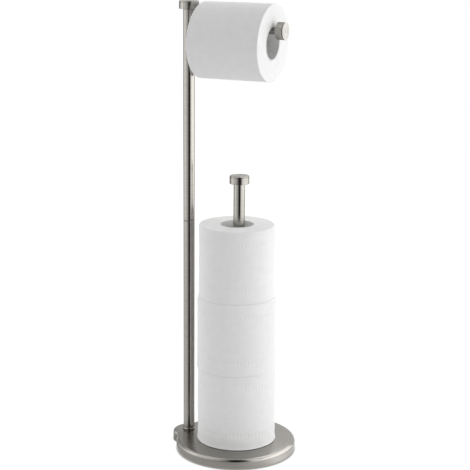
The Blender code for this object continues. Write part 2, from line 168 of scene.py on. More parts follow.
# Tones of the materials: pairs between which each varies, and single ones for the cut ends of card, which are
# painted: a lit rim on the core of the roll in use and a shade ring on the spares' cores
nickel_tones = ((0.285, 0.273, 0.252, 1), (0.395, 0.380, 0.352, 1))
# Painted light: the knob's back gets a paler nickel than the rest, to throw more light onto its shadow on the
# roll's end
painted_bounce_tones = ((0.66, 0.63, 0.59, 1), (0.76, 0.73, 0.69, 1))
tissue_tones = ((0.85, 0.853, 0.85, 1), (0.90, 0.903, 0.90, 1))
board_tones = ((0.71, 0.714, 0.705, 1), (0.80, 0.804, 0.795, 1))
# Painted light: the spare cores' board is a paler copy of the other, to lighten the insides of their holes
painted_lit_board_tones = ((0.84, 0.844, 0.835, 1), (0.91, 0.914, 0.905, 1))
painted_lit_rim_tone = (0.90, 0.90, 0.89, 1)
painted_shade_ring_tone = (0.36, 0.36, 0.35, 1)
rubber_tones = ((0.022, 0.022, 0.023, 1), (0.045, 0.044, 0.042, 1))
iron_tones = ((0.055, 0.054, 0.055, 1), (0.12, 0.105, 0.095, 1))
zinc_tones = ((0.50, 0.51, 0.53, 1), (0.66, 0.67, 0.69, 1))
floor_tones = ((0.73, 0.73, 0.73, 1), (0.77, 0.77, 0.77, 1))

# Studio
studio_middle = Vector((0, 0, 0.32))
card_lift = 1 * MM
card_columns = 60
dome_steps = 24
near_reach = 1.0
far_reach = 2.2
left_reach = 1.4
left_height = 0.6
right_floor_reach = 1.3
near_floor_start = 0.003         # of the strip of floor next to the base
near_floor_reach = 0.05
floor_radius = 4.0
floor_steps = 96
floor_drop = 0.1 * MM
floor_glow = 0.885               # of the floor as it is seen, where nothing stands close to it
floor_veil = 0.25                # the part of it that takes light and shadow
floor_shade_reach = 2.5 * MM     # of the painted shadow line under the base
fill_strength = 0.465            # of the world's light on the object


# Places read from the frame

def middle(node):
    low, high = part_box(node)
    return (low + high) / 2


def span(node):
    low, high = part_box(node)
    return high - low


cover_low, cover_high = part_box("base_cover")
base_x = cover_high.x - base_radius
post_x = middle("post_lower_tube").x
spindle_x = middle("spindle_tube").x
post_to_base = base_x - post_x
lobe_radius = post_x - cover_low.x
rod_radius = span("post_lower_tube").x / 2
arm_height = middle("arm_knob").z


# Mesh helpers

def make_object(name, vertices, faces):
    mesh = bpy.data.meshes.new(name)
    mesh.from_pydata(vertices, [], faces)
    mesh.update()
    item = bpy.data.objects.new(name, mesh)
    bpy.context.scene.collection.objects.link(item)
    return item


def shade_round(item):
    item.data.shade_smooth()
    item.data.set_sharp_from_angle(angle=sharp_angle)


def close_outwards(item):
    """Merges doubled points and turns every face outwards."""
    bm = bmesh.new()
    bm.from_mesh(item.data)
    bmesh.ops.remove_doubles(bm, verts=bm.verts, dist=merge_distance)
    bmesh.ops.recalc_face_normals(bm, faces=bm.faces)
    bm.to_mesh(item.data)
    bm.free()


def filleted(corners):
    """Points of a section whose corners are (radius, height, fillet). Beside each fillet a point stands
    on the straight run, so that smooth shading stays flat there."""
    count = len(corners)
    points = []
    for index, (radius, height, fillet) in enumerate(corners):
        here = Vector((radius, height))
        if fillet == 0:
            points.append(here)
            continue
        before = Vector(corners[index - 1][:2]) - here
        after = Vector(corners[(index + 1) % count][:2]) - here
        half = before.angle(after) / 2
        back = fillet / math.tan(half)
        start = here + before.normalized() * back
        end = here + after.normalized() * back
        centre = here + (before.normalized() + after.normalized()).normalized() * (fillet / math.sin(half))
        first = start - centre
        turn = first.angle_signed(end - centre)
        support = fillet / fillet_support
        points.append(start + before.normalized() * support)
        for step in range(fillet_steps + 1):
            angle = -turn * step / fillet_steps
            points.append(centre + Matrix.Rotation(angle, 2) @ first)
        points.append(end + after.normalized() * support)
    return [(point.x, point.y) for point in points]


def turned(name, corners, closed=False, steps=turn_steps):
    """A turned piece about its local Z axis, from a section's corners."""
    section = filleted(corners)
    vertices = []
    for step in range(steps):
        angle = 2 * math.pi * step / steps
        for radius, height in section:
            vertices.append((radius * math.cos(angle), radius * math.sin(angle), height))
    rows = len(section)
    last = rows if closed else rows - 1
    faces = []
    for step in range(steps):
        ahead = (step + 1) % steps
        for row in range(last):
            below = (row + 1) % rows
            faces.append((step * rows + row, ahead * rows + row, ahead * rows + below, step * rows + below))
    item = make_object(name, vertices, faces)
    close_outwards(item)
    shade_round(item)
    return item


def cutting_pin(radius, depth):
    return turned("drill", [(0, depth, 0), (radius, depth, 0), (radius, 0, 0), (0, 0, 0)], steps=hole_steps)


def cut_with(item, cutter):
    """Cuts one object out of another for good, and removes the cutter."""
    hole = item.modifiers.new("Cut", "BOOLEAN")
    hole.object = cutter
    hole.solver = "EXACT"
    bpy.context.view_layer.update()
    evaluated = item.evaluated_get(bpy.context.evaluated_depsgraph_get())
    mesh = bpy.data.meshes.new_from_object(evaluated)
    item.modifiers.clear()
    item.data = mesh
    bpy.data.objects.remove(cutter, do_unlink=True)
    shade_round(item)


def drill(item, radius, place, depth):
    """A vertical round hole whose lower end is at a place."""
    cutter = cutting_pin(radius, depth)
    cutter.location = place
    cut_with(item, cutter)


def lay_along_arm(item, x, z=arm_height):
    item.rotation_euler = (0, math.pi / 2, 0)
    item.location = (x, 0, z)


def dress(item, material, body, slot, *nodes):
    """Gives a piece its finish and its body, and hides the nodes that it stands for. The slot is not used."""
    if item.data.materials:
        item.data.materials[0] = material
    else:
        item.data.materials.append(material)
    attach(item, body)
    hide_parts(*nodes)


# Base

def arc(centre_x, centre_y, radius, start, end, steps):
    """Points along an arc, without its end."""
    points = []
    for step in range(steps):
        angle = start + (end - start) * step / steps
        points.append((centre_x + radius * math.cos(angle), centre_y + radius * math.sin(angle)))
    return points


def base_outline(inset):
    """Disc, hollow blend, lobe and hollow blend, drawn in by inset, about the disc's centre."""
    disc = base_radius - inset
    lobe = lobe_radius - inset
    blend = lobe_blend_radius + inset
    along = ((disc + blend) ** 2 - (lobe + blend) ** 2 + post_to_base ** 2) / (2 * post_to_base)
    across = math.sqrt((disc + blend) ** 2 - along ** 2)
    disc_end = math.atan2(across, -along)
    lobe_start = math.atan2(across, post_to_base - along)
    points = arc(0, 0, disc, -disc_end, disc_end, disc_steps)
    points += arc(-along, across, blend, math.atan2(-across, along),
                  math.atan2(-across, along - post_to_base), blend_steps)
    points += arc(-post_to_base, 0, lobe, lobe_start, 2 * math.pi - lobe_start, lobe_steps)
    points += arc(-along, -across, blend, math.atan2(across, along - post_to_base),
                  math.atan2(across, along), blend_steps)
    return points


def stacked_outlines(name, levels):
    """A plate or shell from outlines at (inset, height) levels, with flat faces over the first and last."""
    vertices = []
    for inset, height in levels:
        vertices += [(x, y, height) for x, y in base_outline(inset)]
    count = len(vertices) // len(levels)
    faces = [tuple(range(count))]
    for level in range(len(levels) - 1):
        low = level * count
        for index in range(count):
            ahead = (index + 1) % count
            faces.append((low + index, low + ahead, low + count + ahead, low + count + index))
    faces.append(tuple(range(len(vertices) - count, len(vertices))))
    item = make_object(name, vertices, faces)
    item.location = (base_x, 0, 0)
    close_outwards(item)
    shade_round(item)
    return item


def rounded_levels(inset, radius, top, steps):
    """Levels over a rounded upper edge, from the side up to the flat top."""
    levels = []
    for step in range(steps + 1):
        angle = math.pi / 2 * step / steps
        levels.append((inset + radius * (1 - math.cos(angle)), top - radius * (1 - math.sin(angle))))
    return levels


def base_shell(material):
    """Pressed cover: flat top, rounded edge, side wall, open below, with its wall's thickness."""
    low = cover_low.z
    top = cover_high.z
    support = base_edge_radius / rim_support
    outer = rounded_levels(0, base_edge_radius, top, 2 * fillet_steps)
    slope_width = shoulder_width - base_edge_radius
    for step in range(1, shoulder_steps + 1):
        outer.append((base_edge_radius + slope_width * step / shoulder_steps, top))
    outer = [(inset, height - shoulder_drop * (1 - inset / shoulder_width) ** 2) for inset, height in outer]
    outer.append((shoulder_width + support, top))
    outer.insert(0, (0, top - base_edge_radius - support))
    inner = rounded_levels(cover_wall, base_edge_radius - cover_wall, top - cover_wall, fillet_steps)
    inner.append((base_edge_radius + support, top - cover_wall))
    rim = fine_rounding
    lip = [(cover_wall, low), (cover_wall - rim, low), (rim, low), (0, low + rim)]
    levels = list(reversed(inner)) + lip + outer
    item = stacked_outlines("base_shell", levels)
    for x in (post_x, spindle_x):
        drill(item, screw_hole_radius, (x, 0, top - cover_wall - cut_overrun), cover_wall + 2 * cut_overrun)
    dress(item, material, "stand", "brushed_nickel", "base_cover")


def non_slip_pad(material):
    low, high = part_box("base_pad")
    rim = pad_edge_radius
    levels = [
        (pad_inset + rim, low.z),
        (pad_inset, low.z + rim),
        (pad_inset, high.z - rim),
        (pad_inset + rim, high.z),
    ]
    item = stacked_outlines("non_slip_pad", levels)
    for x in (post_x, spindle_x):
        drill(item, pad_hole_radius, (x, 0, low.z - cut_overrun), high.z - low.z + 2 * cut_overrun)
    dress(item, material, "stand", "rubber", "base_pad")


# Uprights and arm

def tube_piece(name, node, material, arm_hole=False, raised=0):
    """A tube whose foot is raised over its node's, with or without the hole that the arm's stud passes."""
    low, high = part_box(node)
    low.z += raised
    length = high.z - low.z
    bore = rod_radius - tube_wall
    corners = [
        (bore, length, 0),
        (rod_radius, length, rounding),
        (rod_radius, 0, rounding),
        (bore, 0, 0),
    ]
    item = turned(name, corners, closed=True)
    item.location = ((low.x + high.x) / 2, 0, low.z)
    if arm_hole:
        cutter = cutting_pin(arm_bore_radius, 2 * rod_radius)
        lay_along_arm(cutter, post_x)
        cut_with(item, cutter)
    dress(item, material, "stand", "brushed_nickel", node)


def grooved_disc(name, radius, height, bore, side_material, face_material, back_material):
    """A disc with its face on top and a fine groove just behind it. Face and back have their own finish."""
    plate_back = height - face_plate
    groove_back = plate_back - face_groove_width
    corners = [
        (0, height, 0),
        (radius, height, face_rounding),
        (radius, plate_back, fine_rounding),
        (radius - face_groove_depth, plate_back, 0),
        (radius - face_groove_depth, groove_back, 0),
        (radius, groove_back, fine_rounding),
        (radius, 0, rounding),
        (bore, 0, 0),
        (bore, cap_bore_depth, 0),
        (0, cap_bore_depth, 0),
    ]
    item = turned(name, corners)
    for material in (side_material, face_material, back_material):
        item.data.materials.append(material)
    for polygon in item.data.polygons:
        if polygon.center.z > height - face_rounding / 2:
            polygon.material_index = 1
        elif polygon.center.z < fine_rounding:
            polygon.material_index = 2
    return item


def cap_piece(name, node, side_material, face_material):
    low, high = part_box(node)
    item = grooved_disc(name, (high.x - low.x) / 2, high.z - low.z, cap_bore_radius,
                        side_material, face_material, side_material)
    item.location = ((low.x + high.x) / 2, 0, low.z)
    dress(item, side_material, "stand", "brushed_nickel", node)


def foot_piece(name, node, material):
    """Flanged foot plug, whose flange is the bright ring under the tube."""
    low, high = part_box(node)
    flange = (high.x - low.x) / 2
    plug = rod_radius - tube_wall - plug_clearance
    ring_top = foot_flange + foot_rise
    corners = [
        (0, high.z - low.z, 0),
        (plug, high.z - low.z, fine_rounding),
        (plug, ring_top, 0),
        (rod_radius, ring_top, 0),
        (flange, foot_undercut_height, 0),
        (flange - foot_undercut_depth, foot_undercut_height, 0),
        (flange - foot_undercut_depth, 0, 0),
        (screw_hole_radius, 0, 0),
        (screw_hole_radius, foot_bore_depth, 0),
        (0, foot_bore_depth, 0),
    ]
    item = turned(name, corners)
    item.location = ((low.x + high.x) / 2, 0, low.z)
    dress(item, material, "stand", "brushed_nickel", node)


def arm_bar(material):
    """The arm, coped at its inner end to sit on the round post."""
    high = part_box("arm_rod")[1]
    radius = span("arm_rod").y / 2
    length = high.x - post_x
    start = rod_radius / 2
    corners = [
        (0, length - arm_bore_depth, 0),
        (arm_bore_radius, length - arm_bore_depth, 0),
        (arm_bore_radius, length, 0),
        (radius, length, fine_rounding),
        (radius, start, 0),
        (arm_bore_radius, start, 0),
        (arm_bore_radius, rod_radius + arm_bore_depth, 0),
        (0, rod_radius + arm_bore_depth, 0),
    ]
    item = turned("arm_bar", corners)
    lay_along_arm(item, post_x)
    cope = rod_radius + seat_gap
    reach = 2 * (radius + cut_overrun)
    drill(item, cope, (post_x, 0, arm_height - reach / 2), reach)
    dress(item, material, "stand", "brushed_nickel", "arm_rod")


def end_knob(side_material, face_material, back_material):
    low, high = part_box("arm_knob")
    item = grooved_disc("end_knob", (high.z - low.z) / 2, high.x - low.x, arm_bore_radius,
                        side_material, face_material, back_material)
    lay_along_arm(item, low.x)
    dress(item, side_material, "stand", "brushed_nickel", "arm_knob")


# Rolls

def soft_waves(random, angle, height, orders, amount):
    """A smooth uneven field over a roll, from a few random waves."""
    field = np.zeros(np.broadcast(angle, height).shape)
    for order in range(1, orders + 1):
        for rise in range(wave_rises):
            size = amount * random.uniform(smallest_wave, 1.0) / order
            phase = random.uniform(0, 2 * math.pi)
            field = field + size * np.cos(order * angle + rise * math.pi * height + phase)
    return field


def embossing(angle, distance):
    """Depth of the row of oblong marks, at a distance along the roll from the row's middle."""
    pitch = 2 * math.pi / emboss_count
    number = np.floor(angle / pitch)
    lean = np.where(number % 2 == 0, emboss_lean, -emboss_lean)
    across = (angle - (number + 0.5) * pitch) * emboss_count * emboss_width / 2
    sideways = across - lean * distance
    shape = (2 * sideways / emboss_width) ** 2 + (2 * distance / emboss_height) ** 2
    return np.exp(-shape ** 2)


def wound_section(width, radius, bore, low_edge, high_edge):
    """Section of the wound paper, round the whole outline, as rows of (radius, height, part)."""
    band = np.linspace(-band_reach, band_reach, band_rows) * emboss_height
    lows = emboss_inset + band
    highs = width - emboss_inset + band
    between = np.linspace(lows[-1], highs[0], between_rows)[1:-1]
    start = np.linspace(low_edge, lows[0], end_rows)[:-1]
    finish = np.linspace(highs[-1], width - high_edge, end_rows)[1:]
    rows = [(radius, height, "side") for height in np.concatenate([start, lows, between, highs, finish])]
    turns = [math.pi / 2 * step / edge_steps for step in range(1, edge_steps)]
    for turn in turns:
        rows.append((radius - high_edge * (1 - math.cos(turn)), width - high_edge * (1 - math.sin(turn)),
                     "edge"))
    mouth = bore + mouth_width
    rows += [(ring, width, "top") for ring in np.linspace(radius - high_edge, mouth, layer_rings)]
    rows += [(bore + mouth_width / 3, width - mouth_depth / 2, "bore")]
    rows += [(bore, width - mouth_depth, "bore"), (bore, width / 2, "bore"), (bore, mouth_depth, "bore")]
    rows += [(bore + mouth_width / 3, mouth_depth / 2, "bore")]
    rows += [(ring, 0.0, "foot") for ring in np.linspace(mouth, radius - low_edge, layer_rings)]
    for turn in turns:
        rows.append((radius - low_edge * (1 - math.sin(turn)), low_edge * (1 - math.cos(turn)), "edge"))
    return rows


def skewed(x, radius):
    """How far the lain roll's points move along it, at x below its axis: its ends lean out at the top."""
    return -hanging_skew * x / radius


def ringed(name, ring, angle, height, lean):
    """A closed form from rings of points about the roll's axis, moved to the camera by a ring's lean. The
    last ring joins the first."""
    x = ring * np.cos(angle) + lean * to_camera[0]
    y = ring * np.sin(angle) + lean * to_camera[1]
    points = np.stack([x, y, height + 0 * ring], axis=-1)
    count, steps = ring.shape
    faces = []
    for row in range(count):
        above = (row + 1) % count
        for step in range(steps):
            ahead = (step + 1) % steps
            faces.append((row * steps + step, row * steps + ahead,
                          above * steps + ahead, above * steps + step))
    item = make_object(name, points.reshape(-1, 3).tolist(), faces)
    close_outwards(item)
    return item


def set_down(item, place, laid):
    if laid:
        lay_along_arm(item, place[0], place[2])
    else:
        item.location = place


def wound_paper(name, node, body, material, width, radius, place, seed, tail_angle,
                edges, swells, lean, laid):
    """The paper of one roll: layered ends, soft edges, two embossed bands and the loose end of the sheet.
    Gives back the radius of the core inside it."""
    random = np.random.default_rng(seed)
    bore = span(node.replace("_paper", "_core")).y / 2 + seat_gap
    rows = wound_section(width, radius, bore, *edges)
    angle = np.arange(paper_steps) * 2 * math.pi / paper_steps
    height = np.array([row[1] for row in rows])[:, None]
    reach = np.array([row[0] for row in rows])[:, None]
    part = np.array([row[2] for row in rows])

    outer = np.clip((reach - bore) / (radius - bore), 0, 1)
    unround = soft_waves(random, angle[None, :], height / width, unround_orders, unround_amount)
    ripple = soft_waves(random, ripple_turns * angle[None, :], ripple_rises * height / width,
                        ripple_orders, ripple_amount)
    near_end = np.exp(-np.minimum(height, width - height) / ridge_reach)
    drift = soft_waves(random, angle[None, :], height / width, drift_orders, ridge_drift)
    ridges = ridge_height * near_end * np.cos(2 * math.pi * height / ridge_pitch + drift) * (1 + drift)
    marks = embossing(angle[None, :], height - emboss_inset)
    marks = marks + embossing(angle[None, :], height - width + emboss_inset)
    grooves = np.exp(-((height - emboss_inset) / groove_width * 2) ** 2)
    grooves = grooves + np.exp(-((height - width + emboss_inset) / groove_width * 2) ** 2)
    swell = swells[0] * np.clip(1 - height / swell_reach, 0, 1) ** 2
    swell = swell + swells[1] * np.clip(1 - (width - height) / swell_reach, 0, 1) ** 2
    on_side = (part == "side")[:, None]
    turn = ((angle - tail_angle) / (2 * math.pi)) % 1
    spiral = tail_step * (0.5 - turn[None, :])
    pressed = marks * emboss_depth + grooves * groove_depth
    radial = outer * (unround + ripple * (1 + 2 * near_end) + spiral + swell) + on_side * (ridges - pressed)

    droop = np.zeros(len(rows))
    for end in ("top", "foot"):
        waves = np.convolve(random.uniform(0, 1, layer_rings + 2), np.ones(3) / 3, "valid")
        droop[part == end] = layer_droop * waves * (1 if end == "foot" else -1)
    droop = droop * np.clip((1 - outer[:, 0]) / firm_share, 0, 1)
    tilt = soft_waves(random, angle[None, :], 0 * height, tilt_orders, end_tilt)
    flat = np.isin(part, ("top", "foot"))[:, None]
    heights = height + droop[:, None] + flat * outer * (1 - outer) * tilt * np.sign(width / 2 - height)

    ring = reach + radial
    if laid:
        heights = heights + skewed(ring * np.cos(angle), radius)
    item = ringed(name, ring, angle, heights, lean * (1 - height / width))
    item.data.shade_smooth()
    set_down(item, place, laid)
    dress(item, material, body, "tissue_paper", node)
    return bore - seat_gap


def card_core(name, node, body, material, width, radius, paper_radius, place, lean, laid):
    """Card tube with the step of its spiral seam on its inner face."""
    angle = np.arange(core_steps) * 2 * math.pi / core_steps
    levels = np.linspace(0, width, core_rings)
    turn = ((angle[None, :] / (2 * math.pi)) + levels[:, None] / seam_pitch) % 1
    step_in = seam_step * np.clip(1 - turn * seam_fade, 0, 1)
    inner = radius - core_wall + step_in
    outer = radius + 0 * step_in
    ring = np.concatenate([inner, outer[::-1]])
    height = np.concatenate([levels, levels[::-1]])[:, None]
    leans = lean * (1 - height / width)
    if laid:
        height = height + skewed(ring * np.cos(angle), paper_radius)
    item = ringed(name, ring, angle, height, leans)
    shade_round(item)
    set_down(item, place, laid)
    dress(item, material, body, "core_card", node)


def roll(label, body, paper_material, card_material, seed, tail_angle, edges,
         swells=(0, 0), rises=(0, 0), lean=0):
    """One roll. The pairs are for its lower and its upper end, or for the post's and the knob's."""
    paper = body + "_paper"
    low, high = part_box(paper)
    low.z += rises[0]
    high.z += rises[1]
    centre = (low + high) / 2
    laid = label == "hanging"
    width = high.x - low.x if laid else high.z - low.z
    radius = (high.y - low.y) / 2
    place = (low.x, centre.y, centre.z) if laid else (centre.x, centre.y, low.z)
    below = meeting_fill if rises[0] else 0
    above = meeting_fill if rises[1] else 0
    foot = (place[0], place[1], place[2] - below)
    core_radius = wound_paper(label + "_wound_paper", paper, body, paper_material, width + below + above,
                              radius, foot, seed, tail_angle, edges, swells, lean, laid)
    card_core(label + "_card_core", body + "_core", body, card_material, width, core_radius, radius,
              place, lean, laid)


# Materials

class Graph:
    """A material's nodes, with short calls for the kinds used here."""

    def __init__(self, name):
        self.material = bpy.data.materials.new(name)
        self.material.use_nodes = True
        self.tree = self.material.node_tree
        self.shader = self.tree.nodes["Principled BSDF"]

    def node(self, kind, inputs, **settings):
        node = self.tree.nodes.new(kind)
        for key, value in settings.items():
            setattr(node, key, value)
        for key, value in inputs.items():
            self.feed(node.inputs[key], value)
        return node

    def feed(self, socket, value):
        if isinstance(value, bpy.types.NodeSocket):
            self.tree.links.new(value, socket)
        else:
            socket.default_value = value

    def set(self, **values):
        """Links or sets the shader's own sockets."""
        for name, value in values.items():
            self.feed(self.shader.inputs[name.replace("_", " ")], value)

    def show(self, shader):
        """Makes another shader the surface."""
        self.feed(self.tree.nodes["Material Output"].inputs["Surface"], shader.outputs[0])

    def place(self, output="Object"):
        return self.node("ShaderNodeTexCoord", {}).outputs[output]

    def math(self, operation, first, second=0.0):
        return self.node("ShaderNodeMath", {0: first, 1: second}, operation=operation).outputs[0]

    def weighed(self, first, second, share=0.6):
        """The sum of this share of one value and the rest of another."""
        return self.math("ADD", self.math("MULTIPLY", first, share), self.math("MULTIPLY", second, 1 - share))

    def split(self, vector):
        return self.node("ShaderNodeSeparateXYZ", {0: vector}).outputs

    def joined(self, x, y, z):
        return self.node("ShaderNodeCombineXYZ", {0: x, 1: y, 2: z}).outputs[0]

    def noise(self, vector, size, detail=2.0):
        """Noise whose features are about this size in metres."""
        values = {"Vector": vector, "Scale": 1 / size, "Detail": detail}
        return self.node("ShaderNodeTexNoise", values).outputs["Fac"]

    def remap(self, value, low, high, to_low=0.0, to_high=1.0):
        inputs = {0: value, 1: low, 2: high, 3: to_low, 4: to_high}
        return self.node("ShaderNodeMapRange", inputs).outputs[0]

    def mixed(self, share, first, second):
        node = self.node("ShaderNodeMix", {0: share, 6: first, 7: second}, data_type="RGBA")
        return node.outputs[2]

    def bump(self, height, strength, distance):
        inputs = {"Strength": strength, "Distance": distance, "Height": height}
        return self.node("ShaderNodeBump", inputs).outputs["Normal"]

    def polar(self, turn_size, height_share=1.0):
        """Coordinates about the local Z axis: radius, way round and height, the last two scaled."""
        x, y, z = self.split(self.place())
        square = self.math("ADD", self.math("MULTIPLY", x, x), self.math("MULTIPLY", y, y))
        radius = self.math("SQRT", square)
        turn = self.math("MULTIPLY", self.math("ARCTAN2", y, x), turn_size)
        return self.joined(radius, turn, self.math("MULTIPLY", z, height_share))

    def end_share(self):
        """One on faces that look along the local Z axis, and nothing on those round it."""
        return self.remap(self.math("ABSOLUTE", self.split(self.place("Normal"))[2]), 0.6, 0.9)


def nickel(name, roughness, contrast, edge=0.45, tones=nickel_tones):
    """Nickel brushed round the local Z axis: fine turned lines, and a sheen drawn out across them."""
    graph = Graph(name)
    vector = graph.polar(turn_size=0.0006)
    fine = graph.noise(vector, 0.2 * MM)
    broad = graph.noise(vector, 1.5 * MM, detail=3.0)
    cloud = graph.noise(graph.place(), 26 * MM, detail=3.0)
    strands = graph.weighed(fine, broad)
    shade = graph.remap(broad, 0.3, 0.7, 0.5 - contrast, 0.5 + contrast)
    graph.set(
        Base_Color=graph.mixed(shade, *tones),
        Roughness=graph.math("ADD", graph.remap(strands, 0.3, 0.7, roughness - 0.03, roughness + 0.03),
                             graph.remap(cloud, 0.3, 0.7, -0.012, 0.012)),
        Metallic=1.0,
        Normal=graph.bump(strands, strength=0.3, distance=0.003 * MM),
        Anisotropic=0.85,
        Anisotropic_Rotation=0.25,
        Specular_Tint=(edge, edge, edge, 1),
    )
    return graph.material


def tissue(name):
    """Soft white paper: crepe lines along the roll's axis on the side, layers on its ends."""
    graph = Graph(name)
    side_lines = graph.noise(graph.polar(turn_size=0.05, height_share=0.12), 0.35 * MM)
    layers = graph.noise(graph.polar(turn_size=0.004, height_share=0.0), 0.28 * MM)
    fibres = graph.noise(graph.place(), 1.1 * MM, detail=4.0)
    mottle = graph.noise(graph.place(), 9 * MM)
    relief = graph.node("ShaderNodeMix", {0: graph.end_share(), 2: side_lines, 3: layers}).outputs[0]
    grain = graph.weighed(relief, fibres)
    graph.set(
        Base_Color=graph.mixed(graph.remap(graph.weighed(grain, mottle), 0.35, 0.65), *tissue_tones),
        Roughness=graph.remap(fibres, 0.3, 0.7, 0.88, 0.98),
        Normal=graph.bump(grain, strength=0.25, distance=0.12 * MM),
        Specular_IOR_Level=0.2,
        Sheen_Weight=0.08,
    )
    return graph.material


def card(name, tones, end_tone):
    """Board with short fibres. The cut ends have a painted tone of their own: a painted lit rim on one core,
    a painted shade ring round the hole on the others.
    """
    graph = Graph(name)
    fibres = graph.noise(graph.polar(turn_size=0.02), 0.5 * MM, detail=4.0)
    specks = graph.noise(graph.place(), 2.4 * MM, detail=3.0)
    tone = graph.weighed(fibres, specks)
    board = graph.mixed(graph.remap(tone, 0.35, 0.65), *tones)
    graph.set(
        Base_Color=graph.mixed(graph.end_share(), board, end_tone),
        Roughness=graph.remap(fibres, 0.3, 0.7, 0.82, 0.95),
        Normal=graph.bump(tone, strength=0.3, distance=0.1 * MM),
    )
    return graph.material


def rubber(name):
    """Dark rubber with a fine grain and some dust."""
    graph = Graph(name)
    grain = graph.noise(graph.place(), 0.8 * MM, detail=3.0)
    dust = graph.noise(graph.place(), 14 * MM, detail=3.0)
    graph.set(
        Base_Color=graph.mixed(graph.remap(dust, 0.4, 0.7), *rubber_tones),
        Roughness=graph.remap(grain, 0.3, 0.7, 0.7, 0.92),
        Normal=graph.bump(grain, strength=0.4, distance=0.1 * MM),
    )
    return graph.material


def cast_iron(name):
    """Rough dark iron with brownish patches."""
    graph = Graph(name)
    grain = graph.noise(graph.place(), 1.2 * MM, detail=5.0)
    patches = graph.noise(graph.place(), 22 * MM, detail=3.0)
    graph.set(
        Base_Color=graph.mixed(graph.remap(patches, 0.35, 0.65), *iron_tones),
        Roughness=graph.remap(grain, 0.3, 0.7, 0.55, 0.8),
        Metallic=0.8,
        Normal=graph.bump(grain, strength=0.6, distance=0.25 * MM),
    )
    return graph.material


def zinc(name):
    """Zinc plate with a cloudy bloom and a faint grain."""
    graph = Graph(name)
    grain = graph.noise(graph.place(), 0.6 * MM)
    bloom = graph.noise(graph.place(), 5 * MM, detail=4.0)
    graph.set(
        Base_Color=graph.mixed(graph.remap(bloom, 0.35, 0.65), *zinc_tones),
        Roughness=graph.remap(bloom, 0.3, 0.7, 0.28, 0.5),
        Metallic=1.0,
        Normal=graph.bump(grain, strength=0.15, distance=0.05 * MM),
    )
    return graph.material


# Pieces

tube_nickel = nickel("tube_nickel", roughness=0.16, contrast=0.2)
turned_nickel = nickel("turned_nickel", roughness=0.23, contrast=0.35)
faced_nickel = nickel("faced_nickel", roughness=0.23, contrast=0.3, edge=0.9)
cover_nickel = nickel("cover_nickel", roughness=0.20, contrast=0.25, edge=0.85)
# Painted light: paler nickel for the knob's back, to light up the knob's shadow on the roll's end
painted_bounce_nickel = nickel("painted_bounce_nickel", roughness=0.3, contrast=0.2, edge=0.9, tones=painted_bounce_tones)
tissue_paper = tissue("tissue_paper_finish")
# Cores: the spare ones are a paler, painted lit copy of the card, with a painted shade ring on their cut
# ends; the core in use has painted light on its ends
core_card = card("core_board_painted_rim", board_tones, painted_lit_rim_tone)
spare_card = card("spare_board_painted_light_and_shade", painted_lit_board_tones, painted_shade_ring_tone)
pad_rubber = rubber("rubber_finish")
zinc_plate = zinc("zinc_finish")
iron = cast_iron("cast_iron_finish")

base_shell(cover_nickel)
non_slip_pad(pad_rubber)
tube_piece("lower_tube", "post_lower_tube", tube_nickel, raised=foot_rise)
tube_piece("upper_tube", "post_upper_tube", tube_nickel, arm_hole=True, raised=joint_opening)
tube_piece("spindle_shaft", "spindle_tube", tube_nickel, raised=foot_rise)
cap_piece("post_disc_cap", "post_cap", turned_nickel, faced_nickel)
cap_piece("spindle_disc_cap", "spindle_cap", turned_nickel, faced_nickel)
foot_piece("post_foot_ring", "post_foot_plug", turned_nickel)
foot_piece("spindle_foot_ring", "spindle_foot_plug", turned_nickel)
arm_bar(tube_nickel)
end_knob(turned_nickel, faced_nickel, painted_bounce_nickel)
roll("hanging", "hanging_roll", tissue_paper, core_card, seed=11, tail_angle=math.radians(150),
     edges=hanging_edge_radii)
roll("bottom", "spare_roll_bottom", tissue_paper, spare_card, seed=23, tail_angle=math.radians(80),
     edges=(seated_edge_radius, shoulder_edge_radius), swells=(foot_swell, -low_swell),
     rises=(0, meeting_rise), lean=foot_lean)
roll("middle", "spare_roll_middle", tissue_paper, spare_card, seed=37, tail_angle=math.radians(120),
     edges=(meeting_edge_radius, close_edge_radius), swells=(low_swell, -top_swell),
     rises=(meeting_rise, meeting_rise))
roll("top", "spare_roll_top", tissue_paper, spare_card, seed=41, tail_angle=math.radians(60),
     edges=(close_edge_radius, free_edge_radius), swells=(top_swell, 0), rises=(meeting_rise, 0))

for name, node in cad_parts.items():
    if node.hide_render:
        continue
    finish = iron if name == "base_weight" else zinc_plate
    for material_slot in node.material_slots:
        material_slot.material = finish


# Camera

camera_data = bpy.data.cameras.new("camera")
camera_data.sensor_width = sensor_width
camera_data.lens = focal_pixels / image_width * sensor_width
camera_data.clip_start = nearest_seen
camera = bpy.data.objects.new("camera", camera_data)
bpy.context.scene.collection.objects.link(camera)
bpy.context.scene.camera = camera

across = Vector((math.cos(view_yaw), math.sin(view_yaw), 0))
inward = Vector((-math.sin(view_yaw), math.cos(view_yaw), 0))
up = Vector((0, 0, 1))
base_middle = Vector((base_x, 0, 0))
camera_place = base_middle + across * view_offset - inward * view_distance + up * view_height
sight = inward * math.cos(view_pitch) - up * math.sin(view_pitch)
level_up = up * math.cos(view_pitch) + inward * math.sin(view_pitch)
rolled_across = across * math.cos(view_roll) + level_up * math.sin(view_roll)
rolled_up = level_up * math.cos(view_roll) - across * math.sin(view_roll)
turned_axes = Matrix((rolled_across, rolled_up, -sight)).transposed()
camera.matrix_world = Matrix.Translation(camera_place) @ turned_axes.to_4x4()


# Studio

def direction(azimuth, elevation):
    """A direction from the object: degrees to the right of the camera, and degrees up."""
    turn = math.radians(azimuth)
    lift = math.radians(elevation)
    flat = -inward * math.cos(turn) + across * math.sin(turn)
    return flat * math.cos(lift) + up * math.sin(lift)


